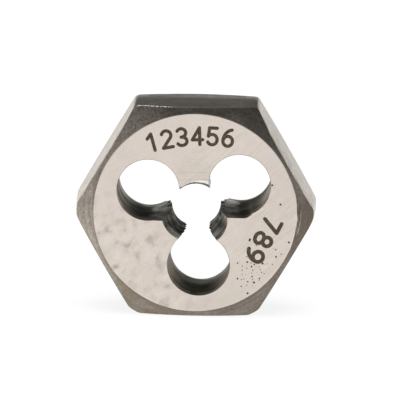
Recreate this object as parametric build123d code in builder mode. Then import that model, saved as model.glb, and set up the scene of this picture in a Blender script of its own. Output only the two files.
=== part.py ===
from build123d import *
import math
import os

# A hexagonal die nut that cuts an M5 thread: one solid of hardened steel.
# It stands on one flat of its hexagon, with the thread axis level along Y.
# The marked front face looks toward -Y, and the origin is under the middle of the lowest flat.

# Hexagonal blank, in millimetres
across_flats = 18.0
thickness = 6.0
corner_relief = 0.24
face_margin = 0.5
face_chamfer_angle = 26.0

# Thread, a metric profile with 30 degree flanks, and the tapers that lead into it
thread_diameter = 5.0
thread_pitch = 0.8
flank_angle = 30.0
lead_mouth_diameter = 5.5
front_lead_length = 2.2
back_lead_length = 1.5

# Chip holes, whose reach is how far each one cuts in past the thread crests
chip_hole_count = 3
chip_hole_diameter = 5.2
chip_hole_reach = 0.24
chip_hole_start_angle = 34.0

# Sizes that follow from those above
flank_slope = math.tan(math.radians(flank_angle))
thread_depth = 0.625 * thread_pitch / (2 * flank_slope)
bore_radius = thread_diameter / 2 - thread_depth
lead_mouth_radius = lead_mouth_diameter / 2
corner_radius = across_flats / math.sqrt(3) - corner_relief
face_radius = across_flats / 2 - face_margin
chamfer_depth = (corner_radius - face_radius) * math.tan(math.radians(face_chamfer_angle))
chip_hole_distance = bore_radius - chip_hole_reach + chip_hole_diameter / 2
centre_height = across_flats / 2
front_y = -thickness / 2
back_y = thickness / 2

# The blank starts two pitches too long at each end, so that the thread groove runs out
# in steel that is turned away afterwards
spare_length = 2 * thread_pitch
blank_plane = Plane(origin=(0, back_y + spare_length, centre_height), x_dir=(1, 0, 0), z_dir=(0, -1, 0))
back_plane = Plane(origin=(0, back_y, centre_height), x_dir=(1, 0, 0), z_dir=(0, -1, 0))
turning_plane = Plane(origin=(0, 0, centre_height), x_dir=(1, 0, 0), z_dir=(0, 0, 1))
thread_axis = Axis((0, 0, centre_height), (0, 1, 0))

# Thread groove: the space between two threads, swept along a right-hand helix
groove_overlap = 0.1
groove_floor_width = thread_pitch / 8
groove_mouth_width = groove_floor_width + 2 * (thread_depth + groove_overlap) * flank_slope
with BuildPart() as groove:
    with BuildLine() as groove_path:
        Helix(
            pitch=thread_pitch,
            height=thickness + spare_length,
            radius=bore_radius,
            center=(0, front_y - spare_length / 2, centre_height),
            direction=(0, 1, 0),
        )
    groove_start = groove_path.line @ 0
    outward = groove_start - Vector(0, groove_start.Y, centre_height)
    with BuildSketch(Plane(origin=groove_start, x_dir=outward, z_dir=groove_path.line % 0)):
        with BuildLine():
            Polyline(
                (-groove_overlap, -groove_mouth_width / 2),
                (thread_depth, -groove_floor_width / 2),
                (thread_depth, groove_floor_width / 2),
                (-groove_overlap, groove_mouth_width / 2),
                close=True,
            )
        make_face()
    sweep(path=groove_path.line, is_frenet=True)

with BuildPart() as die_nut:
    # Hexagonal bar with level flats above and below, bored to the thread crests
    with BuildSketch(blank_plane):
        RegularPolygon(radius=across_flats / 2, side_count=6, major_radius=False)
        Circle(bore_radius, mode=Mode.SUBTRACT)
    extrude(amount=thickness + 2 * spare_length)

    # Thread
    add(groove.part, mode=Mode.SUBTRACT)

    # Faced to length, with the corners turned back and both faces chamfered
    with BuildSketch(turning_plane):
        with BuildLine():
            Polyline(
                (0, front_y),
                (face_radius, front_y),
                (corner_radius, front_y + chamfer_depth),
                (corner_radius, back_y - chamfer_depth),
                (face_radius, back_y),
                (0, back_y),
                close=True,
            )
        make_face()
    revolve(axis=thread_axis, mode=Mode.INTERSECT)

    # Lead tapers, long at the front face where the cut starts and short at the back
    with BuildSketch(turning_plane):
        with BuildLine():
            Polyline(
                (0, front_y),
                (lead_mouth_radius, front_y),
                (bore_radius, front_y + front_lead_length),
                (0, front_y + front_lead_length),
                close=True,
            )
        make_face()
        with BuildLine():
            Polyline(
                (0, back_y),
                (lead_mouth_radius, back_y),
                (bore_radius, back_y - back_lead_length),
                (0, back_y - back_lead_length),
                close=True,
            )
        make_face()
    revolve(axis=thread_axis, mode=Mode.SUBTRACT)

    # Chip holes, which leave three cutting lands between them
    with BuildSketch(back_plane):
        with PolarLocations(chip_hole_distance, chip_hole_count, start_angle=chip_hole_start_angle):
            Circle(chip_hole_diameter / 2)
    extrude(amount=thickness, mode=Mode.SUBTRACT)

os.makedirs("parts", exist_ok=True)
die_nut.part.label = "die_nut"
export_step(die_nut.part, "parts/die_nut.step")
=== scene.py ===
import math

import bmesh
import bpy
from mathutils import Matrix, Vector, noise


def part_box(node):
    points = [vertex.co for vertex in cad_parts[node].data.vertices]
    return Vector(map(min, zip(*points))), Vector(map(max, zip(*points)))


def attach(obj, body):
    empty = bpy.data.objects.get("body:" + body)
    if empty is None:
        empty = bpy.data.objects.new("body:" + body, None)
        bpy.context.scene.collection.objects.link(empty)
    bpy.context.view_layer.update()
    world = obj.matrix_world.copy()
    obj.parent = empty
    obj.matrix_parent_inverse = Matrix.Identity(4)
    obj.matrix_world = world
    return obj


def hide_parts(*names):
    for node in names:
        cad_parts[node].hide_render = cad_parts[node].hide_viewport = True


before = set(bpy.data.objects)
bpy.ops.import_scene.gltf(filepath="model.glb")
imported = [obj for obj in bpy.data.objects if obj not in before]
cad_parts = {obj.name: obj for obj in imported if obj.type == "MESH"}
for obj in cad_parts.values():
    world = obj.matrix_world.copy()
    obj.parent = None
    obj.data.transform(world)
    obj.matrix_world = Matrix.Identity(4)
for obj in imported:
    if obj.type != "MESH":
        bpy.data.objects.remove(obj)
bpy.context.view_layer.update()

# The CAD model's box, and the nut's place in it
low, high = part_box("die_nut")
MM = 0.001

# The nut's sizes, in millimetres: the overall ones come from the CAD model's box, the rest repeat the CAD's
hair = 0.001  # the visual model keeps this far inside the CAD's box
across_flats = (high.z - low.z) / MM - 2 * hair
corner_radius = min(high.x, -low.x) / MM - hair
front_y, back_y = low.y / MM + hair, high.y / MM - hair
centre_z = (low.z + high.z) / 2 / MM
face_inset = 0.5  # from the flats in to the edge of each round face
face_radius = across_flats / 2 - face_inset
chamfer_angle = math.radians(26.0)
chamfer_slope = math.tan(chamfer_angle)
thread_radius = 2.5
thread_pitch = 0.8
bore_radius = 2.067
lead_mouth_radius = 2.75
front_lead_length = 2.2
back_lead_length = 1.5
chip_hole_radius = 2.6
chip_hole_overlap = 0.24  # how far each chip hole breaks into the bore
chip_hole_distance = bore_radius - chip_hole_overlap + chip_hole_radius
first_chip_hole = 34.0  # the upper right one's direction in degrees; the others follow anticlockwise
chip_hole_angles = [math.radians(first_chip_hole + 120.0 * k) for k in range(3)]

# How far the bore runs off the blank's middle, as X and Z
bore_slip = Vector((0.02, -0.06))
bore_centre = Vector((0, centre_z)) + bore_slip
# The front taper's mouth was widened toward each land in turn: the radius of a circle, and how far its
# centre lies from the blank's middle, as X and Z
front_mouths = {
    "top land": (2.3, Vector((0.50, 0.50))),
    "left land": (2.42, Vector((-0.418, -0.101))),
    "right land": (2.114, Vector((0.644, -0.668))),
}

# Edges are broken by hand: by how much, in how many small facets, and how unevenly along their length
edge_break = 0.05
rim_break = 0.04
edge_steps = 3
edge_unevenness = 0.35
edge_waves = 9
# Where edges are worn wider: the middle of the stretch and half its length in degrees, and how much wider
face_edge_wear = ((-4.0, 26.0, 0.08),)
side_edge_wear = ((113.0, 12.0, 0.05),)
# Where the flats fall away toward the front edge, in the same way, and over what length
flat_fall = ((25.0, 33.0, 0.12), (152.0, 36.0, 0.10))
fall_length = 2.4
# How much wider or narrower each corner was turned than the first, at the right and on round anticlockwise
corner_gains = (0.0, 0.16, 0.16, -0.05, -0.03, -0.03)
corner_softness = 0.05
# How much nearer or further each flat lies, starting with the one between the first two corners
flat_gains = (-0.06, 0.0, 0.0, 0.0, 0.0, 0.0)
# How far each chip hole was drilled from its place, as X and Z, and how much wider
hole_slips = (Vector((0.06, -0.05)), Vector((0.01, -0.07)), Vector((0.06, -0.11)))
hole_gain = 0.02
# How much further off its place each hole comes out at the back
hole_leans = (Vector((0, 0)), Vector((0, 0)), Vector((0.08, 0)))

# The cutting shapes: how far they run past a face, how much narrower than the bore the tapers' cones end,
# and how many sides the round ones have
past = 0.3
cone_overrun = 0.02
round_sides = 160

# Reliefs filed into the sides of the two lower lands: outlines at the front and at the back face, as X and Z
# about the blank's middle. The part that lies in the holes cuts nothing, and little is gone at the back.
relief_softness = 0.4
reliefs = {
    "right land, upper side": (
        [(1.2, -0.40), (2.75, -0.40), (4.45, -0.42), (5.6, 0.75), (4.9, 2.0), (1.2, 2.0)],
        [(1.2, 0.75), (2.75, -0.12), (4.3, -0.2), (5.6, 0.75), (4.9, 2.0), (1.2, 2.0)],
    ),
    "left land, upper side": (
        [(-1.2, 0.9), (-3.97, 0.9), (-3.97, -0.75), (-1.2, -0.75)],
        [(-1.2, 0.9), (-3.97, 0.9), (-3.97, -0.65), (-1.2, 0.65)],
    ),
    "left land, lower side": (
        [(-0.3, -1.66), (-1.55, -2.43), (-2.05, -3.4), (-1.2, -4.2), (-0.3, -3.2)],
        [(-0.3, -1.69), (-1.45, -2.43), (-1.95, -3.4), (-1.2, -4.2), (-0.3, -3.2)],
    ),
    "right land, lower side": (
        [(0.6, -1.32), (0.3, -3.0), (1.3, -3.2), (1.75, -2.40)],
        [(0.7, -1.32), (0.4, -3.0), (1.4, -3.2), (1.85, -2.40)],
    ),
}

# Numbers etched in the front face: a row on a shallow arc above the bore, and a straight row at the right
digit_height = 1.72
digit_box_width = 0.6
etch_depth = 0.03
arc_radius = 15.55
arc_centre = Vector((0.8, centre_z - 9.8))
arc_first, arc_last = math.radians(-15.9), math.radians(6.7)
arc_digit_width, arc_stroke = 1.14, 0.285
row_centre = Vector((5.8, centre_z - 2.25))
row_spacing = 1.5
row_turn = math.radians(-117.0)
row_digit_width, row_stroke = 1.3, 0.33


class Surface:
    """One steel surface: a metal shader, and patterns in millimetres of the nut's own space to drive it.

    rim dims and tints what the surface mirrors where it is seen at a flat angle.
    """

    def __init__(self, name, roughness, rim=(1, 1, 1)):
        self.material = bpy.data.materials.new(name)
        self.material.use_nodes = True
        self.tree = self.material.node_tree
        self.shader = self.tree.nodes["Principled BSDF"]
        self.shader.inputs["Metallic"].default_value = 1.0
        self.shader.inputs["Specular Tint"].default_value = (*rim, 1)
        self.shader.inputs["Roughness"].default_value = roughness
        own_space = self.tree.nodes.new("ShaderNodeTexCoord").outputs["Object"]
        scaled = self.node("ShaderNodeVectorMath", {0: own_space, "Scale": 1 / MM}, operation="SCALE")
        middle = {0: scaled.outputs[0], 1: (0, 0, centre_z)}
        self.place = self.node("ShaderNodeVectorMath", middle, operation="SUBTRACT").outputs[0]

    def node(self, kind, inputs, **settings):
        """A new node; each input takes a number, a colour or vector, or another node's output."""
        made = self.tree.nodes.new(kind)
        for setting, value in settings.items():
            setattr(made, setting, value)
        for socket, value in inputs.items():
            if isinstance(value, bpy.types.NodeSocket):
                self.tree.links.new(value, made.inputs[socket])
            else:
                made.inputs[socket].default_value = value
        return made

    def math(self, operation, a, b):
        return self.node("ShaderNodeMath", {0: a, 1: b}, operation=operation).outputs[0]

    def times(self, a, b):
        return self.math("MULTIPLY", a, b)

    def plus(self, a, b):
        return self.math("ADD", a, b)

    def larger(self, a, b):
        return self.math("MAXIMUM", a, b)

    def parts(self):
        """The place's X, Y and Z, and its distance from the blank's axis."""
        split = self.node("ShaderNodeSeparateXYZ", {0: self.place}).outputs
        across = {0: self.place, 1: (1, 0, 1)}
        level = self.node("ShaderNodeVectorMath", across, operation="MULTIPLY").outputs[0]
        radius = self.node("ShaderNodeVectorMath", {0: level}, operation="LENGTH").outputs["Value"]
        return split[0], split[1], split[2], radius

    def facing_up(self):
        """1 where the surface looks straight up, 0 where it is upright and -1 where it looks down."""
        normal = self.tree.nodes.new("ShaderNodeNewGeometry").outputs["Normal"]
        return self.node("ShaderNodeSeparateXYZ", {0: normal}).outputs[2]

    def noise(self, size, tilt=0.0, detail=2.0, offset=0.0, space=None):
        """Noise from 0 to 1. size is a feature's size in mm along X, Y and Z, tilted in degrees about Y."""
        inputs = {"Vector": space or self.place, "Location": (offset,) * 3, "Scale": size}
        inputs["Rotation"] = (0, -math.radians(tilt), 0)
        turned = self.node("ShaderNodeMapping", inputs, vector_type="TEXTURE").outputs[0]
        return self.node("ShaderNodeTexNoise", {"Vector": turned, "Scale": 1.0, "Detail": detail}).outputs[0]

    def turning_marks(self, length, width, detail=2.0, offset=0.0):
        """Noise drawn out along circles about the blank's axis."""
        x, _, z, radius = self.parts()
        circular = self.node("ShaderNodeCombineXYZ", {0: x, 1: radius, 2: z}).outputs[0]
        return self.noise((length, width, length), detail=detail, offset=offset, space=circular)

    def ramp(self, value, start, end, low=0.0, high=1.0):
        """low where value is at start, high where it is at end, and a smooth passage between."""
        inputs = {"Value": value, "From Min": start, "From Max": end, "To Min": low, "To Max": high}
        return self.node("ShaderNodeMapRange", inputs, interpolation_type="SMOOTHSTEP").outputs[0]

    def near(self, spot, full, gone):
        """1 within full mm of a spot and 0 from gone mm on."""
        away = self.node("ShaderNodeVectorMath", {0: self.place, 1: spot}, operation="DISTANCE")
        return self.ramp(away.outputs["Value"], gone, full)

    def dots(self, spacing, radius, share, offset=0.0):
        """Small round dots: one in each cell of a random pattern, kept in a share of the cells."""
        shift = {0: self.place, 1: (offset,) * 3}
        moved = self.node("ShaderNodeVectorMath", shift, operation="ADD").outputs[0]
        cells = self.node("ShaderNodeTexVoronoi", {"Vector": moved, "Scale": 1 / spacing})
        chance = self.node("ShaderNodeSeparateColor", {0: cells.outputs["Color"]}).outputs[0]
        kept = self.math("LESS_THAN", chance, share)
        reach = radius / spacing
        return self.times(kept, self.ramp(cells.outputs["Distance"], reach, reach / 2))

    def mix(self, share, first, second):
        """The first colour where share is 0 and the second where it is 1, in linear red, green and blue."""
        made = self.node("ShaderNodeMix", {"Factor": share}, data_type="RGBA")
        for socket, colour in ((made.inputs[6], first), (made.inputs[7], second)):
            if isinstance(colour, bpy.types.NodeSocket):
                self.tree.links.new(colour, socket)
            else:
                socket.default_value = (*colour, 1)
        return made.outputs[2]

    def finish(self, colour, roughness=None, height=None, depth=0.01, rim=None, bare=None):
        """Sets the shader's colour, roughness, bumps and rim; depth is the height of a full bump in mm.

        bare is how much of the surface is bare metal; the rest scatters light, as torn steel does.
        """
        self.tree.links.new(colour, self.shader.inputs["Base Color"])
        if rim is not None:
            self.tree.links.new(rim, self.shader.inputs["Specular Tint"])
        if bare is not None:
            self.tree.links.new(bare, self.shader.inputs["Metallic"])
        if roughness is not None:
            self.tree.links.new(roughness, self.shader.inputs["Roughness"])
        if height is not None:
            bump = self.node("ShaderNodeBump", {"Height": height, "Distance": depth * MM, "Strength": 1.0})
            self.tree.links.new(bump.outputs[0], self.shader.inputs["Normal"])
        return self.material


# The slant of the grinding lines in degrees, and the front face's single pits as X and Z about its middle
grinding_tilt = 42
single_pits = ((7.21, 0.84), (4.68, -2.21), (7.97, -2.42), (6.48, 2.5), (4.55, -6.9), (4.65, -2.31))


def ground_face():
    """The ground faces: warm grey, with slanting grinding lines, soft stains and a few black pits."""
    face = Surface("ground_face", roughness=0.3)
    clouds = face.noise((1.8, 1.8, 1.8), detail=3)
    lines = face.noise((2.6, 1.0, 0.22), tilt=grinding_tilt, detail=3)
    patches = face.noise((1.5, 1.5, 1.5), offset=5)
    ground = face.near((6.5, front_y, 1.0), 3.0, 12.0)
    ground = face.times(ground, face.ramp(patches, 0.35, 0.65, 0.4, 1.25))
    lined = face.times(face.ramp(lines, 0.3, 0.7, -0.4, 0.4), ground)
    tone = face.plus(face.ramp(clouds, 0.3, 0.7, 0.1, 0.8), lined)
    steel = face.mix(tone, (0.665, 0.60, 0.53), (0.79, 0.71, 0.645))
    blush = face.ramp(face.noise((1.3, 1.3, 1.3), offset=7), 0.45, 0.7)
    steel = face.mix(face.times(blush, 0.5), steel, (0.735, 0.64, 0.605))
    # Duller at the right edge, above the bore and at the bottom
    duller = face.plus(face.near((9.5, front_y, 0), 2.0, 9.0), face.near((0, front_y, 2.8), 0.5, 2.5))
    duller = face.plus(duller, face.near((3.0, front_y, -8.5), 1.5, 5.5))
    steel = face.mix(face.times(duller, 0.16), steel, (0.48, 0.44, 0.395))
    # Soft stains with paler rims, thickest at the lower left
    mottle = face.noise((1.0, 1.0, 0.8), tilt=grinding_tilt, detail=2.5, offset=3)
    stained = face.times(face.near((-5.0, front_y, -5.0), 2.5, 9.5), face.ramp(clouds, 0.3, 0.6, 0.4, 1))
    steel = face.mix(face.times(face.ramp(mottle, 0.46, 0.78), stained), steel, (0.45, 0.405, 0.355))
    paler = face.times(face.ramp(mottle, 0.45, 0.3, 0, 0.45), stained)
    steel = face.mix(paler, steel, (0.84, 0.77, 0.71))
    fine = face.noise((0.3, 0.3, 0.14), tilt=grinding_tilt, detail=2, offset=9)
    steel = face.mix(face.ramp(fine, 0.5, 0.8, 0, 0.4), steel, (0.52, 0.47, 0.41))
    # Scratches on the land above the bore
    scratches = face.ramp(face.noise((2.4, 1.0, 0.07), tilt=2, detail=1, offset=11), 0.55, 0.66)
    scratches = face.times(scratches, face.near((0, front_y, 3.7), 1.0, 1.9))
    steel = face.mix(face.times(scratches, 0.6), steel, (0.43, 0.38, 0.33))
    # Pits: clustered below the row at the right and round its numbers, and a few single ones
    corroded = face.times(face.near((4.8, front_y, -5.1), 0.6, 1.7), 0.7)
    speckled = face.times(face.near((5.8, front_y, -3.6), 0.8, 2.4), 0.22)
    share = face.larger(corroded, speckled)
    pits = face.larger(face.dots(0.36, 0.12, share), face.dots(0.24, 0.07, share, offset=3))
    for x, z in single_pits:
        pits = face.larger(pits, face.near((x, front_y, z), 0.05, 0.12))
    steel = face.mix(pits, steel, (0.035, 0.028, 0.02))
    height = face.math("SUBTRACT", face.times(lines, 0.5), pits)
    return face.finish(steel, face.ramp(clouds, 0.3, 0.7, 0.27, 0.36), height, depth=0.004)


def turned_chamfer():
    """The turned chamfers: darker and rougher than the faces, brown-grey and grainy, with light specks, and
    painted light toward the left.
    """
    chamfer = Surface("turned_chamfer", roughness=0.48, rim=(0.9, 0.86, 0.8))
    x, _, z, radius = chamfer.parts()
    grain = chamfer.noise((0.24, 0.24, 0.24), detail=4)
    clouds = chamfer.noise((1.2, 1.2, 1.2), detail=2, offset=4)
    marks = chamfer.turning_marks(2.5, 0.16, detail=3)
    turned = chamfer.times(chamfer.ramp(marks, 0.32, 0.68), chamfer.ramp(z, 3.0, -3.0, 0.3, 0.65))
    tone = chamfer.plus(chamfer.ramp(grain, 0.25, 0.75, 0, 0.6), turned)
    dull = chamfer.mix(tone, (0.165, 0.145, 0.125), (0.32, 0.285, 0.25))
    painted_lit_tone = chamfer.mix(tone, (0.28, 0.24, 0.205), (0.54, 0.48, 0.415))
    # Painted light: a lit copy of the steel toward the left, most of all at the upper left, and at the right
    # shoulder; dull is the unlit copy
    painted_light_leftward = chamfer.times(chamfer.ramp(x, 5.0, -9.5), chamfer.ramp(clouds, 0.3, 0.6, 0.7, 1.1))
    painted_light_upper_left = chamfer.times(chamfer.near((-6.0, -2.7, 6.8), 1.5, 4.5), 0.85)
    painted_light_shoulder = chamfer.times(chamfer.near((8.3, -2.7, 3.6), 1.0, 4.2), 0.3)
    steel = chamfer.mix(chamfer.plus(chamfer.plus(painted_light_leftward, painted_light_upper_left), painted_light_shoulder), dull, painted_lit_tone)
    # Pale frosted grains at the upper left, partly grain and partly painted light
    frost_in_painted_light = chamfer.times(painted_light_upper_left, chamfer.ramp(grain, 0.35, 0.65, 0.1, 0.6))
    steel = chamfer.mix(frost_in_painted_light, steel, (0.66, 0.59, 0.53))
    # Browner at the lower left, lower down and at the right corner
    rust = chamfer.near((-5.0, -2.7, -8.0), 2.0, 7.0)
    rust = chamfer.times(rust, chamfer.ramp(clouds, 0.35, 0.6, 0.2, 0.7))
    steel = chamfer.mix(rust, steel, (0.25, 0.205, 0.145))
    below = chamfer.times(chamfer.ramp(z, 3.0, -1.0, 0, 0.3), chamfer.ramp(x, -8.0, -4.0))
    steel = chamfer.mix(below, steel, (0.16, 0.125, 0.09))
    brown = chamfer.times(chamfer.near((9.2, -2.7, -1.2), 1.4, 4.0), 0.5)
    steel = chamfer.mix(brown, steel, (0.115, 0.09, 0.066))
    # Smudges beside the face: pale along the top and in turned lines at the right, dark elsewhere
    beside = chamfer.ramp(radius, face_radius + 1.1, face_radius + 0.1)
    spots = chamfer.ramp(chamfer.noise((0.13, 0.13, 0.13), detail=3, offset=2), 0.45, 0.6, 0.08, 0.6)
    at_top = chamfer.times(chamfer.near((3.3, -2.8, 8.1), 0.3, 1.3), spots)
    steel = chamfer.mix(chamfer.times(beside, at_top), steel, (0.62, 0.58, 0.52))
    by_face = chamfer.times(chamfer.ramp(radius, face_radius + 0.3, face_radius + 0.05), 0.35)
    steel = chamfer.mix(chamfer.times(by_face, chamfer.ramp(z, 6.5, 3.0)), steel, (0.13, 0.11, 0.095))
    at_right = chamfer.near((8.9, -2.8, -0.6), 0.8, 2.4)
    groove = chamfer.turning_marks(0.9, 0.13, detail=1, offset=3)
    inside = chamfer.times(chamfer.ramp(radius, face_radius + 0.5, face_radius + 0.35), at_right)
    dark_lines = chamfer.times(inside, chamfer.ramp(groove, 0.45, 0.35, 0, 0.6))
    steel = chamfer.mix(dark_lines, steel, (0.12, 0.1, 0.085))
    pale_lines = chamfer.times(inside, chamfer.ramp(groove, 0.52, 0.6, 0, 0.7))
    steel = chamfer.mix(pale_lines, steel, (0.6, 0.55, 0.5))
    specks = chamfer.times(chamfer.dots(0.35, 0.08, 0.35), chamfer.near((-5.5, -2.6, 7.5), 1.5, 4.5))
    flecks = chamfer.ramp(chamfer.noise((0.12, 0.12, 0.12), detail=2, offset=6), 0.62, 0.72, 0, 0.35)
    specks = chamfer.larger(specks, chamfer.times(flecks, chamfer.ramp(x, 1.0, -6.0, 0.25, 1)))
    steel = chamfer.mix(specks, steel, (0.85, 0.8, 0.74))
    return chamfer.finish(steel, None, tone, depth=0.012)


def side_flat():
    """The six flats: bright steel ground along their length, warm at the front and greyer toward the back."""
    flat = Surface("side_flat", roughness=0.32, rim=(1.0, 0.96, 0.91))
    x, y, z, _ = flat.parts()
    smudges = flat.noise((0.9, 1.0, 0.9), detail=4)
    lines = flat.noise((3.5, 0.3, 3.5), detail=3, offset=2)
    mottle = flat.noise((0.45, 0.6, 0.45), detail=3, offset=6)
    frost = flat.noise((0.15, 0.22, 0.15), detail=3, offset=9)
    wander = flat.plus(y, flat.ramp(smudges, 0.3, 0.7, -0.8, 0.8))
    steel = flat.mix(flat.ramp(wander, -1.2, 0.6), (0.80, 0.745, 0.70), (0.63, 0.615, 0.58))
    steel = flat.mix(flat.ramp(lines, 0.35, 0.65, 0, 0.3), steel, (0.88, 0.85, 0.81))
    steel = flat.mix(flat.ramp(smudges, 0.5, 0.72, 0, 0.5), steel, (0.47, 0.45, 0.42))
    rightward = flat.times(flat.ramp(x, 2.0, 7.0), flat.ramp(mottle, 0.35, 0.65, 0.3, 0.7))
    steel = flat.mix(rightward, steel, (0.44, 0.42, 0.39))
    steel = flat.mix(flat.ramp(mottle, 0.45, 0.7, 0, 0.25), steel, (0.38, 0.37, 0.35))
    steel = flat.mix(flat.ramp(frost, 0.5, 0.75, 0, 0.35), steel, (0.42, 0.41, 0.38))
    # The top flat is darker, a painted shade, with pale scuffs, and rubbed dull along its back edge
    on_top = flat.ramp(z, 8.6, 8.95)
    steel = flat.mix(flat.times(on_top, 0.45), steel, (0.36, 0.33, 0.285))
    scuffs = flat.ramp(flat.noise((0.5, 0.9, 0.5), detail=3, offset=12), 0.58, 0.68, 0, 0.3)
    steel = flat.mix(flat.times(on_top, scuffs), steel, (0.8, 0.77, 0.72))
    rubbed = flat.times(on_top, flat.ramp(y, 0.4, 1.9))
    rubbed = flat.times(rubbed, flat.ramp(mottle, 0.35, 0.6, 0.5, 1))
    return flat.finish(steel, None, lines, depth=0.003, bare=flat.ramp(rubbed, 0, 1, 1, 0.82))


def broken_edge():
    """The narrow worn edges: dull, with painted highlights by the upper side flats, and bright spots where
    knocked, partly worn steel and partly painted glints.
    """
    edge = Surface("broken_edge", roughness=0.35)
    x, _, z, radius = edge.parts()
    knocks_and_glints = edge.ramp(edge.noise((0.1, 1.5, 0.1), detail=3), 0.44, 0.52)
    worn = edge.larger(edge.near((-5.2, -2.5, 8.8), 2.0, 4.5), 0.1)
    # Painted highlights on the edges beside the upper side flats
    sideways = edge.ramp(edge.math("ABSOLUTE", x, 0), 5.1, 5.6)
    painted_highlight_at_sides = edge.times(sideways, edge.ramp(z, -0.9, -0.3))
    painted_highlight_at_sides = edge.times(painted_highlight_at_sides, edge.ramp(radius, face_radius + 0.15, face_radius + 0.3))
    dull = edge.mix(painted_highlight_at_sides, (0.17, 0.155, 0.135), (0.80, 0.75, 0.70))
    # Knocked spots: worn steel, painted near white as glints
    steel = edge.mix(edge.times(knocks_and_glints, worn), dull, (0.97, 0.93, 0.86))
    return edge.finish(steel)


def drilled_wall():
    """The chip holes' walls: nearly black with the drill's rings, with painted shade in brown at the sides,
    and painted light by the lands and toward both faces.
    """
    wall = Surface("drilled_wall", roughness=0.42)
    x, y, z, radius = wall.parts()
    rings = wall.noise((2.6, 0.9, 2.6), detail=5)
    streaks = wall.ramp(rings, 0.37, 0.63)
    patches = wall.noise((0.9, 1.4, 0.9), detail=2, offset=6)
    upward = wall.facing_up()
    steel = wall.mix(streaks, (0.02, 0.021, 0.016), (0.19, 0.185, 0.155))
    steel = wall.mix(wall.ramp(patches, 0.5, 0.68, 0, 0.5), steel, (0.15, 0.13, 0.10))
    # Painted shade: a darker brown copy where the wall faces sideways rather than up
    brown = wall.mix(streaks, (0.02, 0.016, 0.013), (0.22, 0.18, 0.15))
    steel = wall.mix(wall.ramp(upward, 0.85, 0.35), steel, brown)
    # Paler at the right, and streaked, with painted light, beside the lands
    pale = wall.times(wall.near((6.1, -0.2, 1.4), 0.9, 2.2), wall.ramp(patches, 0.35, 0.6, 0.4, 1))
    steel = wall.mix(pale, steel, (0.56, 0.51, 0.46))
    greyer = wall.times(wall.near((5.0, 0.2, 0.1), 0.4, 1.6), 0.5)
    steel = wall.mix(greyer, steel, (0.40, 0.38, 0.34))
    painted_light_by_land = wall.mix(streaks, (0.2, 0.19, 0.17), (0.72, 0.70, 0.64))
    near_land = wall.ramp(wall.plus(radius, wall.ramp(patches, 0.3, 0.7, -0.4, 0.4)), 3.8, 3.0)
    steel = wall.mix(near_land, steel, painted_light_by_land)
    # Painted light toward both faces: grey at the back, brown at the front
    back_start = wall.ramp(x, 3.0, 4.2, 0.9, 2.1)
    painted_light_to_back = wall.times(wall.ramp(y, back_start, 3.3), wall.ramp(rings, 0.35, 0.65, 0.5, 1))
    steel = wall.mix(painted_light_to_back, steel, (0.98, 0.97, 0.88))
    painted_light_to_front = wall.times(wall.ramp(y, front_y + 1.4, front_y), wall.ramp(patches, 0.3, 0.6, 0.4, 1))
    steel = wall.mix(painted_light_to_front, steel, (0.60, 0.52, 0.45))
    # Torn and pale beside the lower lands, toward the back
    beside_left_land = wall.near((-2.6, 1.2, -0.3), 0.8, 1.5)
    beside_right_land = wall.near((2.6, 1.6, -0.1), 0.7, 1.35)
    torn = wall.plus(beside_left_land, beside_right_land)
    tears = wall.noise((1.3, 0.4, 1.3), detail=3, offset=12)
    torn = wall.times(torn, wall.ramp(tears, 0.4, 0.58, 0.35, 1))
    steel = wall.mix(torn, steel, (1, 0.99, 0.93))
    # The lowest hole is ruddy at its sides
    ruddy = wall.times(wall.ramp(z, -2.6, -3.6), wall.ramp(upward, 0.95, 0.6))
    ruddy = wall.times(ruddy, wall.ramp(patches, 0.35, 0.6, 0.1, 0.8))
    steel = wall.mix(ruddy, steel, (0.22, 0.175, 0.155))
    # Painted light, brightest at the top land, and painted shade in dark grains at the sides
    above = wall.times(near_land, wall.ramp(z, 0.8, 1.8, 0, 0.7))
    steel = wall.mix(above, steel, (0.95, 0.93, 0.89))
    grain = wall.noise((0.16, 0.3, 0.16), detail=3, offset=4)
    # Painted shade: dark grains where the wall faces sideways
    painted_shade_grains = wall.times(wall.ramp(upward, 0.9, 0.4), wall.ramp(grain, 0.45, 0.7, 0, 0.75))
    steel = wall.mix(painted_shade_grains, steel, (0.03, 0.025, 0.02))
    # The reflections' tint: lighter along the painted light by the lands and toward the back, browner along
    # the ruddy sides and the painted light toward the front
    rim = wall.mix(streaks, (0.46, 0.44, 0.39), (0.74, 0.71, 0.65))
    rim = wall.mix(wall.larger(near_land, painted_light_to_back), rim, (1, 1, 0.98))
    rim = wall.mix(wall.times(wall.larger(ruddy, painted_light_to_front), 0.6), rim, (0.64, 0.57, 0.53))
    roughness = wall.ramp(torn, 0, 1, 0.42, 0.75)
    return wall.finish(steel, roughness, rings, depth=0.02, rim=rim, bare=wall.ramp(torn, 0, 1, 1, 0.1))


def painted_shade_line(surface, x):
    """The painted shade in the first groove just inside the bore's upper edge: nearly black at the left, grey
    at the right.
    """
    return surface.mix(surface.ramp(x, -1.0, 0.6), (0.05, 0.047, 0.04), (0.30, 0.29, 0.265))


def cut_thread():
    """The thread: torn dark steel, with painted shade higher up and a line of painted shade at its top."""
    thread = Surface("cut_thread", roughness=0.36)
    x, _, z, _ = thread.parts()
    tears = thread.noise((0.7, 0.25, 0.7), detail=4)
    steel = thread.mix(thread.ramp(tears, 0.35, 0.68), (0.07, 0.07, 0.058), (0.42, 0.41, 0.37))
    # Painted shade: darker higher up in the bore
    steel = thread.mix(thread.ramp(z, -1.4, -0.4, 0, 0.5), steel, (0.05, 0.048, 0.04))
    above = thread.ramp(z, 0.8, 1.6)
    # Painted shade along the top, also in the reflections' tint
    line = painted_shade_line(thread, x)
    steel = thread.mix(above, steel, line)
    rim = thread.mix(above, (0.75, 0.73, 0.66), line)
    return thread.finish(steel, None, tears, depth=0.015, rim=rim)


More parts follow.
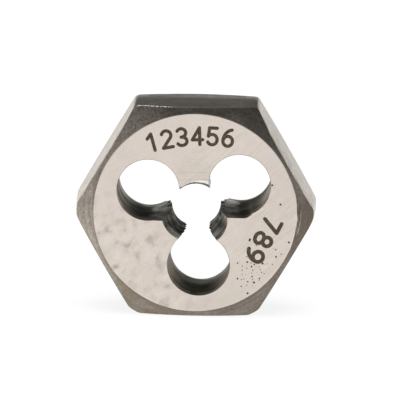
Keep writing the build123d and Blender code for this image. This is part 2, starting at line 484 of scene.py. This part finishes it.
def lead_taper():
    """The tapers that lead into the thread: bright at the mouth, with a painted reflection at the top,
    painted highlights along the rings, and painted shade further in, more at the upper end than the lower.
    """
    taper = Surface("lead_taper", roughness=0.3)
    x, _, z, radius = taper.parts()
    rings = taper.turning_marks(1.2, 0.09, detail=2, offset=8)
    streaks = taper.ramp(rings, 0.4, 0.6)
    above = taper.ramp(z, 0.5, 1.5)
    by_mouth = taper.ramp(radius, 2.42, 2.66)
    # Painted shade: darker further in from the mouth, more at the upper end than at the lower
    upper_end = taper.mix(by_mouth, (0.07, 0.07, 0.06), (0.34, 0.33, 0.30))
    lower_end = taper.mix(by_mouth, (0.085, 0.083, 0.073), (0.46, 0.44, 0.40))
    downward = taper.ramp(z, -0.9, -1.9)
    mouth = taper.mix(downward, upper_end, lower_end)
    to_right = taper.times(taper.ramp(x, 0, 1), downward)
    mouth = taper.mix(to_right, mouth, (0.19, 0.185, 0.165))
    mouth = taper.mix(taper.ramp(streaks, 0, 1, 0.55, 0), mouth, (0.03, 0.029, 0.024))
    lit = taper.times(streaks, taper.ramp(by_mouth, 0, 1, 0.06, 0.22))
    mouth = taper.mix(lit, mouth, (0.85, 0.82, 0.75))
    # Painted reflection, near white, at the top
    mouth = taper.mix(above, mouth, (0.98, 0.96, 0.92))
    # Above the bore a ragged line of painted shade runs along the inner edge
    ragged = taper.noise((0.25, 0.6, 0.25), detail=2)
    jagged = taper.plus(radius, taper.ramp(ragged, 0.35, 0.65, -0.12, 0.08))
    inner = taper.times(taper.ramp(jagged, bore_radius + 0.33, bore_radius + 0.27), above)
    line = painted_shade_line(taper, x)
    steel = taper.mix(inner, mouth, line)
    rim = taper.mix(inner, (0.9, 0.88, 0.82), line)
    return taper.finish(steel, None, rings, depth=0.01, rim=rim, bare=taper.ramp(downward, 0, 1, 1, 0.5))


def etched_mark():
    """The blackened floor of the etched numbers: dark brown, uneven where the etch bit less."""
    mark = Surface("etched_mark", roughness=0.55)
    grain = mark.noise((0.12, 0.12, 0.12), detail=3)
    brown = mark.mix(mark.ramp(grain, 0.3, 0.75), (0.095, 0.07, 0.046), (0.18, 0.142, 0.105))
    return mark.finish(brown, None, grain, depth=0.01)


def placed(name, mesh):
    """A new object in the scene that shows the mesh."""
    piece = bpy.data.objects.new(name, mesh)
    bpy.context.scene.collection.objects.link(piece)
    return piece


def mesh_object(name, vertices, faces, materials, face_material=None):
    """A new object in the scene; face_material has each face's place in materials."""
    mesh = bpy.data.meshes.new(name)
    mesh.from_pydata(vertices, [], faces)
    for material in materials:
        mesh.materials.append(material)
    if face_material is not None:
        mesh.polygons.foreach_set("material_index", face_material)
    mesh.update()
    return placed(name, mesh)


def ring_faces(rings, count):
    """Quads between neighbouring closed rings of count vertices, with a cap on the first and on the last."""
    faces = [tuple(range(count))]
    for ring in range(rings - 1):
        start, after = ring * count, (ring + 1) * count
        for i in range(count):
            j = (i + 1) % count
            faces.append((start + j, start + i, after + i, after + j))
    last = (rings - 1) * count
    faces.append(tuple(last + i for i in reversed(range(count))))
    return faces


def turned(profile, centre, material):
    """A solid turned about an axis parallel to Y; profile is a list of (y, radius)."""
    vertices = []
    for y, radius in profile:
        for i in range(round_sides):
            angle = 2 * math.pi * i / round_sides
            vertices.append((centre.x + radius * math.cos(angle), y, centre.y + radius * math.sin(angle)))
    return mesh_object("turned_tool", vertices, ring_faces(len(profile), round_sides), [material])


def split_bent_faces(mesh, limit=1e-5):
    """Halves the four-sided faces that are bent by more than limit, because a clean cut needs flat ones."""
    work = bmesh.new()
    work.from_mesh(mesh)
    bent = []
    for face in work.faces:
        if len(face.verts) == 4:
            a, b, c, d = [vertex.co for vertex in face.verts]
            if abs((c - a).cross(b - a).normalized().dot(d - a)) > limit:
                bent.append(face)
    bmesh.ops.triangulate(work, faces=bent)
    work.to_mesh(mesh)
    work.free()


def cut(piece, tools):
    """Takes all the tools' volumes out of piece at once; the new faces keep each tool's material."""
    group = bpy.data.collections.new("tools")
    bpy.context.scene.collection.children.link(group)
    for tool in tools:
        group.objects.link(tool)
    for solid in (piece, *tools):
        split_bent_faces(solid.data)
    modifier = piece.modifiers.new("cut", "BOOLEAN")
    modifier.operation = "DIFFERENCE"
    modifier.solver = "EXACT"
    modifier.operand_type = "COLLECTION"
    modifier.collection = group
    modifier.material_mode = "TRANSFER"
    graph = bpy.context.evaluated_depsgraph_get()
    result = piece.evaluated_get(graph)
    mesh = bpy.data.meshes.new_from_object(result, preserve_all_data_layers=True, depsgraph=graph)
    piece.modifiers.clear()
    piece.data = mesh
    for tool in tools:
        bpy.data.objects.remove(tool)
    bpy.data.collections.remove(group)


def rounded(before, corner, after, width, steps=edge_steps):
    """Points of a small curve that takes the place of a corner of a profile."""
    start = corner + (before - corner).normalized() * width
    end = corner + (after - corner).normalized() * width
    points = []
    for k in range(steps + 1):
        t = k / steps
        points.append(start * (1 - t) ** 2 + corner * 2 * t * (1 - t) + end * t ** 2)
    return points


def side_radius(angle):
    """Distance from the axis to the blank's side, whose turned corners run softly into the flats."""
    sixths = math.degrees(angle) / 60
    from_flat = (math.degrees(angle) - 60) % 60 - 30
    flat = (across_flats / 2 + flat_gains[int(sixths) % 6]) / math.cos(math.radians(from_flat))
    turned_down = corner_radius + corner_gains[round(sixths) % 6]
    gap = abs(flat - turned_down)
    return min(flat, turned_down) - corner_softness * math.log(1 + math.exp(-gap / corner_softness))


def extra_wear(angle, stretches, fading=3):
    """How much wider than usual an edge is worn at an angle about the axis.

    The wear is full in the middle of a stretch and fades over the last third of the way to each end.
    """
    wear = 0.0
    for middle, half_length, gain in stretches:
        away = abs((math.degrees(angle) - middle + 180) % 360 - 180) / half_length
        wear += gain * max(0.0, min(1.0, fading * (1 - away)))
    return wear


def column_angles():
    """Where the blank's columns stand: close together at the six corners, further apart along the flats."""
    close, wide, zone = 0.25, 1.25, 5.0  # degrees
    angles = []
    for corner in range(0, 360, 60):
        angles += [corner - zone + close * k for k in range(int(2 * zone / close))]
        angles += [corner + zone + wide * k for k in range(int((60 - 2 * zone) / wide))]
    return sorted(math.radians(angle % 360) for angle in angles)


def blank(materials):
    """The chamfered hexagonal blank, as closed rings round the thread's axis."""
    columns = []
    for angle in column_angles():
        side = side_radius(angle)
        depth = (side - face_radius) * chamfer_slope
        around = Vector((math.cos(angle), math.sin(angle), 0))
        unevenness = 1 + edge_unevenness * noise.noise(around * edge_waves)
        by_face = unevenness * (edge_break + extra_wear(angle, face_edge_wear))
        by_side = unevenness * (edge_break + extra_wear(angle, side_edge_wear))
        fallen = side - unevenness * extra_wear(angle, flat_fall)
        corners = [
            Vector((0, front_y)),
            Vector((face_radius, front_y)),
            Vector((fallen, front_y + (fallen - face_radius) * chamfer_slope)),
            Vector((side, front_y + depth + fall_length)),
            Vector((side, back_y - depth)),
            Vector((face_radius, back_y)),
            Vector((0, back_y)),
        ]
        column = []
        wears = (by_face, by_side, by_side, by_side, by_face)
        for before, corner, after, wear in zip(corners, corners[1:], corners[2:], wears):
            column += rounded(before, corner, after, wear)
        columns.append((angle, column))
    count = len(columns)
    rings = len(columns[0][1])
    vertices = []
    for ring in range(rings):
        for angle, column in columns:
            radius, y = column[ring]
            vertices.append((radius * math.cos(angle), y, centre_z + radius * math.sin(angle)))
    # The steel of the front face, of each rounded corner and the straight stretch behind it, and of the back
    face_steel, chamfer_steel, flat_steel, edge_steel = range(4)
    face_material = [face_steel]
    for curve, stretch in (
        (face_steel, chamfer_steel),
        (edge_steel, flat_steel),
        (flat_steel, flat_steel),
        (edge_steel, chamfer_steel),
    ):
        face_material += [curve] * edge_steps * count + [stretch] * count
    face_material += [face_steel] * (edge_steps * count + 1)
    return mesh_object("die_nut_body", vertices, ring_faces(rings, count), materials, face_material)


def thread_tool(material, count=96):
    """The threaded core: closed rings that follow the helix, so that crests and roots stay crisp."""
    # Its profile over one pitch: an eighth of the pitch wide outside, and a quarter inside
    profile = [(-1 / 16, thread_radius), (1 / 16, thread_radius), (3 / 8, bore_radius), (5 / 8, bore_radius)]
    spare_turns = 2
    turns = math.ceil((back_y - front_y) / thread_pitch) + 2 * spare_turns
    rows = []
    for turn in range(turns):
        rows += [(turn - spare_turns + share, radius) for share, radius in profile]
    tool = bmesh.new()
    grid = []
    for pitches, radius in rows:
        ring = []
        for i in range(count):
            angle = 2 * math.pi * i / count
            y = front_y + thread_pitch * (pitches + i / count)
            x, z = bore_centre + radius * Vector((math.sin(angle), math.cos(angle)))
            ring.append(tool.verts.new((x, y, z)))
        grid.append(ring)
    # Each ring ends one pitch further on than it began, so it joins the ring that starts there
    step = len(profile)
    for row in range(len(rows) - 1 - step):
        for i in range(count):
            seam = i + 1 == count
            right = grid[row + step][0] if seam else grid[row][i + 1]
            upper_right = grid[row + 1 + step][0] if seam else grid[row + 1][i + 1]
            tool.faces.new((grid[row][i], right, upper_right, grid[row + 1][i]))
    for vertex in [v for v in tool.verts if not v.link_faces]:
        tool.verts.remove(vertex)
    end_places = (front_y - spare_turns * thread_pitch, back_y + past)
    ends = [tool.verts.new((bore_centre.x, y, bore_centre.y)) for y in end_places]
    for edge in [e for e in tool.edges if e.is_boundary]:
        end = ends[0] if edge.verts[0].co.y < 0 else ends[1]
        tool.faces.new((edge.verts[0], edge.verts[1], end))
    bmesh.ops.recalc_face_normals(tool, faces=tool.faces)
    mesh = bpy.data.meshes.new("thread_tool")
    tool.to_mesh(mesh)
    tool.free()
    mesh.materials.append(material)
    return placed("thread_tool", mesh)


def arc(x, y, x_radius, y_radius, first, last, steps=14):
    """Points along part of an ellipse about (x, y), from one angle to another in degrees."""
    turns = [math.radians(first + (last - first) * k / steps) for k in range(steps + 1)]
    return [Vector((x + x_radius * math.cos(turn), y + y_radius * math.sin(turn))) for turn in turns]


def line(*spots):
    """A straight stroke, or one more spot to end a curved one on."""
    return [Vector(spot) for spot in spots]


def ring(x, y, x_radius, y_radius):
    """A closed ellipse, as two strokes that overlap a little."""
    return [arc(x, y, x_radius, y_radius, -5, 185), arc(x, y, x_radius, y_radius, 175, 365)]


# The strokes of each digit, along their middles, in a box as wide as digit_box_width and 1 tall
digit_strokes = {
    "1": [line((0.14, 0.72), (0.35, 0.92)), line((0.35, 0.92), (0.35, 0.08))],
    "2": [arc(0.30, 0.69, 0.21, 0.23, 160, -40) + line((0.08, 0.08)), line((0.08, 0.08), (0.52, 0.08))],
    "3": [arc(0.28, 0.71, 0.20, 0.21, 150, -95), arc(0.28, 0.29, 0.22, 0.21, 95, -150)],
    "4": [
        line((0.40, 0.92), (0.40, 0.08)),
        line((0.40, 0.92), (0.07, 0.32)),
        line((0.07, 0.32), (0.53, 0.32)),
    ],
    "5": [
        line((0.48, 0.92), (0.14, 0.92)),
        line((0.14, 0.92), (0.11, 0.50)),
        arc(0.28, 0.34, 0.22, 0.26, 142, -150),
    ],
    "6": ring(0.30, 0.33, 0.21, 0.25) + [arc(0.50, 0.36, 0.41, 0.56, 180, 100)],
    "7": [line((0.09, 0.92), (0.51, 0.92)), line((0.51, 0.92), (0.22, 0.08))],
    "8": ring(0.30, 0.71, 0.18, 0.21) + ring(0.30, 0.29, 0.22, 0.21),
    "9": ring(0.30, 0.67, 0.21, 0.25) + [arc(0.10, 0.64, 0.41, 0.56, 0, -80)],
}


def half_round(centre, start, steps=8):
    """Points between start and the spot opposite it, on the circle about centre."""
    spoke = start - centre
    points = []
    for k in range(1, steps):
        turn = -math.pi * k / steps
        turned_x = spoke.x * math.cos(turn) - spoke.y * math.sin(turn)
        turned_y = spoke.x * math.sin(turn) + spoke.y * math.cos(turn)
        points.append(centre + Vector((turned_x, turned_y)))
    return points


def stroke_outline(points, weight):
    """The outline of an even stroke with round ends."""
    left, right = [], []
    for before, point, after in zip(points[:1] + points, points, points[1:] + points[-1:]):
        ahead = (after - before).normalized()
        side = Vector((-ahead.y, ahead.x)) * weight / 2
        left.append(point + side)
        right.append(point - side)
    return left + half_round(points[-1], left[-1]) + right[::-1] + half_round(points[0], right[0])


def digit_tools(digit, foot, lean, width, weight, material):
    """A digit's strokes as thin solids through the front face, from the middle of its lower edge upward."""
    along = Vector((math.cos(lean), math.sin(lean)))
    upward = Vector((-along.y, along.x))
    tools = []
    for points in digit_strokes[digit]:
        middle = []
        for spot in points:
            sideways = (spot.x / digit_box_width - 0.5) * width
            middle.append(foot + along * sideways + upward * spot.y * digit_height)
        outline = stroke_outline(middle, weight)
        count = len(outline)
        vertices = [(p.x, y, p.y) for y in (front_y - past, front_y + etch_depth) for p in outline]
        faces = [tuple(range(count - 1, -1, -1)), tuple(range(count, 2 * count))]
        faces += [(i, (i + 1) % count, (i + 1) % count + count, i + count) for i in range(count)]
        tools.append(mesh_object("digit_stroke", vertices, faces, [material]))
    return tools


def number_tools(material):
    """All the etched numbers: the row on an arc above the bore, and the straight row at the right."""
    tools = []
    row = "123456"
    for k, digit in enumerate(row):
        lean = -(arc_first + (arc_last - arc_first) * k / (len(row) - 1))
        foot = arc_centre + Vector((-math.sin(lean), math.cos(lean))) * arc_radius
        tools += digit_tools(digit, foot, lean, arc_digit_width, arc_stroke, material)
    along = Vector((math.cos(row_turn), math.sin(row_turn)))
    upward = Vector((-along.y, along.x))
    for k, digit in enumerate("789"):
        foot = row_centre + along * (k - 1) * row_spacing - upward * digit_height / 2
        tools += digit_tools(digit, foot, row_turn, row_digit_width, row_stroke, material)
    return tools


def lean_over(tool, base_y, lean):
    """Shears a tool sideways: by nothing at base_y and by lean, as X and Z, for each mm further back."""
    shear = Matrix.Identity(4)
    shear[0][1], shear[2][1] = lean
    shear[0][3], shear[2][3] = -base_y * lean
    tool.data.transform(shear)


def lead_tool(face_y, length, mouth_radius, offset, material):
    """The cone that opens the thread from one face.

    Its thin end lies on the bore's axis, and its mouth is off that by offset, as X and Z.
    """
    inward = 1 if face_y < 0 else -1
    end_radius = bore_radius - cone_overrun
    slope = (mouth_radius - end_radius) / length
    end_y = face_y + inward * length
    profile = [(face_y - inward * past, mouth_radius + past * slope), (end_y, end_radius)]
    tool = turned(sorted(profile), bore_centre, material)
    lean_over(tool, end_y, -offset * inward / length)
    return tool


def softened(outline, steps=6):
    """The outline with a small curve at each corner."""
    corners = [Vector(corner) for corner in outline]
    points = []
    for before, corner, after in zip(corners[-1:] + corners, corners, corners[1:] + corners[:1]):
        points += rounded(before, corner, after, relief_softness, steps)
    return points


def relief_tool(front_outline, back_outline, material):
    """A prism between two outlines, one on each face, with soft corners and carried on past both faces."""
    thickness = back_y - front_y
    front_outline, back_outline = softened(front_outline), softened(back_outline)
    vertices = []
    for beyond in (-past / thickness, 1 + past / thickness):
        for front, back in zip(front_outline, back_outline):
            x, z = front + (back - front) * beyond
            vertices.append((x, front_y + beyond * thickness, centre_z + z))
    count = len(front_outline)
    faces = [tuple(range(count)), tuple(range(2 * count - 1, count - 1, -1))]
    faces += [((i + 1) % count, i, i + count, (i + 1) % count + count) for i in range(count)]
    return mesh_object("relief_tool", vertices, faces, [material])


def chip_hole_tool(angle, slip, lean, material):
    """One chip hole, opened slightly at both rims."""
    direction = Vector((math.cos(angle), math.sin(angle)))
    centre = Vector((0, centre_z)) + chip_hole_distance * direction + slip
    radius = chip_hole_radius + hole_gain
    profile = [
        (front_y - past, radius + rim_break + past),
        (front_y + rim_break, radius),
        (back_y - rim_break, radius),
        (back_y + past, radius + rim_break + past),
    ]
    tool = turned(profile, centre, material)
    lean_over(tool, front_y, lean / (back_y - front_y))
    return tool


def build_nut(sharp_angle=math.radians(15)):
    """The whole nut: the blank with everything cut out of it at once."""
    body = blank([ground_face(), turned_chamfer(), side_flat(), broken_edge()])
    taper_steel, wall_steel = lead_taper(), drilled_wall()
    tools = [thread_tool(cut_thread())]
    for mouth_radius, offset in front_mouths.values():
        tools.append(lead_tool(front_y, front_lead_length, mouth_radius, offset - bore_slip, taper_steel))
    tools.append(lead_tool(back_y, back_lead_length, lead_mouth_radius, Vector((0, 0)), taper_steel))
    for angle, slip, lean in zip(chip_hole_angles, hole_slips, hole_leans):
        tools.append(chip_hole_tool(angle, slip, lean, wall_steel))
    tools += [relief_tool(*outlines, wall_steel) for outlines in reliefs.values()]
    cut(body, tools + number_tools(etched_mark()))
    body.data.transform(Matrix.Scale(MM, 4))  # from millimetres to metres
    body.data.shade_smooth()
    body.data.set_sharp_from_angle(angle=sharp_angle)
    weighted = body.modifiers.new("even_shading", "WEIGHTED_NORMAL")
    weighted.keep_sharp = True
    weighted.weight = 80
    triangles = body.modifiers.new("well_shaped_triangles", "TRIANGULATE")
    triangles.ngon_method = "BEAUTY"
    triangles.keep_custom_normals = True
    return body


def white_floor(radius=0.68, wall=0.075, bend=0.06, bend_steps=8, drop=2e-5, count=96):
    """A white dish, drop below the nut: flat in the middle and turned up a little all round its edge."""
    profile = [(0.02, 0.0), (0.1, 0.0), (0.3, 0.0)]
    for k in range(bend_steps + 1):
        turn = math.radians(90 * k / bend_steps)
        profile.append((radius - bend + bend * math.sin(turn), bend - bend * math.cos(turn)))
    profile.append((radius, wall))
    vertices, faces = [(0, 0, -drop)], []
    for out, z in profile:
        for i in range(count):
            angle = 2 * math.pi * i / count
            vertices.append((out * math.cos(angle), out * math.sin(angle), z - drop))
    for i in range(count):
        j = (i + 1) % count
        faces.append((0, 1 + i, 1 + j))
        for ring in range(len(profile) - 1):
            inner, outer = 1 + ring * count, 1 + (ring + 1) * count
            faces.append((inner + i, outer + i, outer + j, inner + j))
    floor = mesh_object("floor", vertices, faces, [floor_white()])
    floor.data.shade_smooth()


def floor_white(shadow_share=0.14):
    """Paper white to the camera and in the steel, with a share of plain paint that takes the shadow."""
    material = bpy.data.materials.new("floor_white")
    material.use_nodes = True
    tree = material.node_tree
    tree.nodes.clear()

    def sum_of(a, b):
        total = tree.nodes.new("ShaderNodeMath")
        total.operation = "ADD"
        total.use_clamp = True
        tree.links.new(a, total.inputs[0])
        tree.links.new(b, total.inputs[1])
        return total.outputs[0]

    path = tree.nodes.new("ShaderNodeLightPath").outputs
    seen = sum_of(sum_of(path["Is Camera Ray"], path["Is Glossy Ray"]), path["Is Transmission Ray"])
    glowing_share = tree.nodes.new("ShaderNodeMath")
    glowing_share.operation = "MULTIPLY"
    glowing_share.inputs[1].default_value = 1 - shadow_share
    tree.links.new(seen, glowing_share.inputs[0])
    paint = tree.nodes.new("ShaderNodeBsdfDiffuse")
    paint.inputs["Color"].default_value = (0.85, 0.85, 0.85, 1)
    glow = tree.nodes.new("ShaderNodeEmission")
    glow.inputs["Strength"].default_value = 1.0
    blend = tree.nodes.new("ShaderNodeMixShader")
    out = tree.nodes.new("ShaderNodeOutputMaterial")
    tree.links.new(glowing_share.outputs[0], blend.inputs[0])
    tree.links.new(paint.outputs[0], blend.inputs[1])
    tree.links.new(glow.outputs[0], blend.inputs[2])
    tree.links.new(blend.outputs[0], out.inputs[0])
    return material


def studio_world(horizon=0.09, zenith=0.25, lighter_from=0.6):
    """A dim room, a little lighter overhead: from lighter_from on, where straight up is 1."""
    world = bpy.data.worlds.new("studio")
    world.use_nodes = True
    bpy.context.scene.world = world
    tree = world.node_tree
    place = tree.nodes.new("ShaderNodeTexCoord")
    split = tree.nodes.new("ShaderNodeSeparateXYZ")
    ramp = tree.nodes.new("ShaderNodeMapRange")
    ramp.inputs["From Min"].default_value = lighter_from
    ramp.inputs["From Max"].default_value = 1.0
    ramp.inputs["To Min"].default_value = horizon
    ramp.inputs["To Max"].default_value = zenith
    tree.links.new(place.outputs["Generated"], split.inputs[0])
    tree.links.new(split.outputs["Z"], ramp.inputs["Value"])
    tree.links.new(ramp.outputs[0], tree.nodes["Background"].inputs["Color"])


def softbox(name, place, size, brightness, in_reflections=True):
    """A round lamp aimed at the nut; brightness is how bright its disc looks, white being 1."""
    lamp = bpy.data.lights.new(name, "AREA")
    lamp.shape = "DISK"
    lamp.size = size
    disc_area = math.pi * size ** 2 / 4
    lamp.energy = brightness * math.pi * disc_area
    lamp_object = bpy.data.objects.new(name, lamp)
    lamp_object.location = place
    lamp_object.rotation_mode = "QUATERNION"
    toward_nut = Vector((0, 0, centre_z * MM)) - Vector(place)
    lamp_object.rotation_quaternion = toward_nut.to_track_quat("-Z", "Y")
    lamp_object.visible_glossy = in_reflections
    bpy.context.scene.collection.objects.link(lamp_object)


# The camera, fitted to the photograph. face_centre_pixel is where the front face's middle falls in it.
view_azimuth = math.radians(1.42)
view_elevation = math.radians(12.94)
view_roll = math.radians(0.80)
view_distance = 0.702
pixels_per_metre = 11873.0
frame_pixels = 400.0
face_centre_pixel = Vector((194.8, 212.6))


def fitted_camera():
    """The camera as it stood for the photograph."""
    backward = Vector((
        math.sin(view_azimuth) * math.cos(view_elevation),
        -math.cos(view_azimuth) * math.cos(view_elevation),
        math.sin(view_elevation),
    ))
    level = (-backward).cross(Vector((0, 0, 1))).normalized()
    square = level.cross(-backward)
    right = level * math.cos(view_roll) + square * math.sin(view_roll)
    up = square * math.cos(view_roll) - level * math.sin(view_roll)
    offset = (Vector((frame_pixels, frame_pixels)) / 2 - face_centre_pixel) / pixels_per_metre
    target = Vector((0, front_y, centre_z)) * MM + right * offset.x - up * offset.y
    camera = bpy.data.cameras.new("camera")
    camera.sensor_width = 36.0
    camera.lens = camera.sensor_width * view_distance * pixels_per_metre / frame_pixels
    camera.clip_start = 0.01
    camera.clip_end = 10
    camera_object = bpy.data.objects.new("camera", camera)
    axes = Matrix((right, up, backward)).transposed().to_4x4()
    camera_object.matrix_world = Matrix.Translation(target + backward * view_distance) @ axes
    bpy.context.scene.collection.objects.link(camera_object)
    bpy.context.scene.camera = camera_object


nut = build_nut()
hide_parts("die_nut")
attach(nut, "root")

white_floor()
studio_world()
softbox("left_light", place=(-0.85, -0.85, 0.28), size=0.5, brightness=0.5)
softbox("top_light", place=(-0.2, 0.5, 1.3), size=0.8, brightness=1.6)
softbox("floor_light", place=(0.0, -0.2, 1.2), size=1.2, brightness=7.0, in_reflections=False)

fitted_camera()
bpy.context.scene.view_settings.view_transform = "Standard"
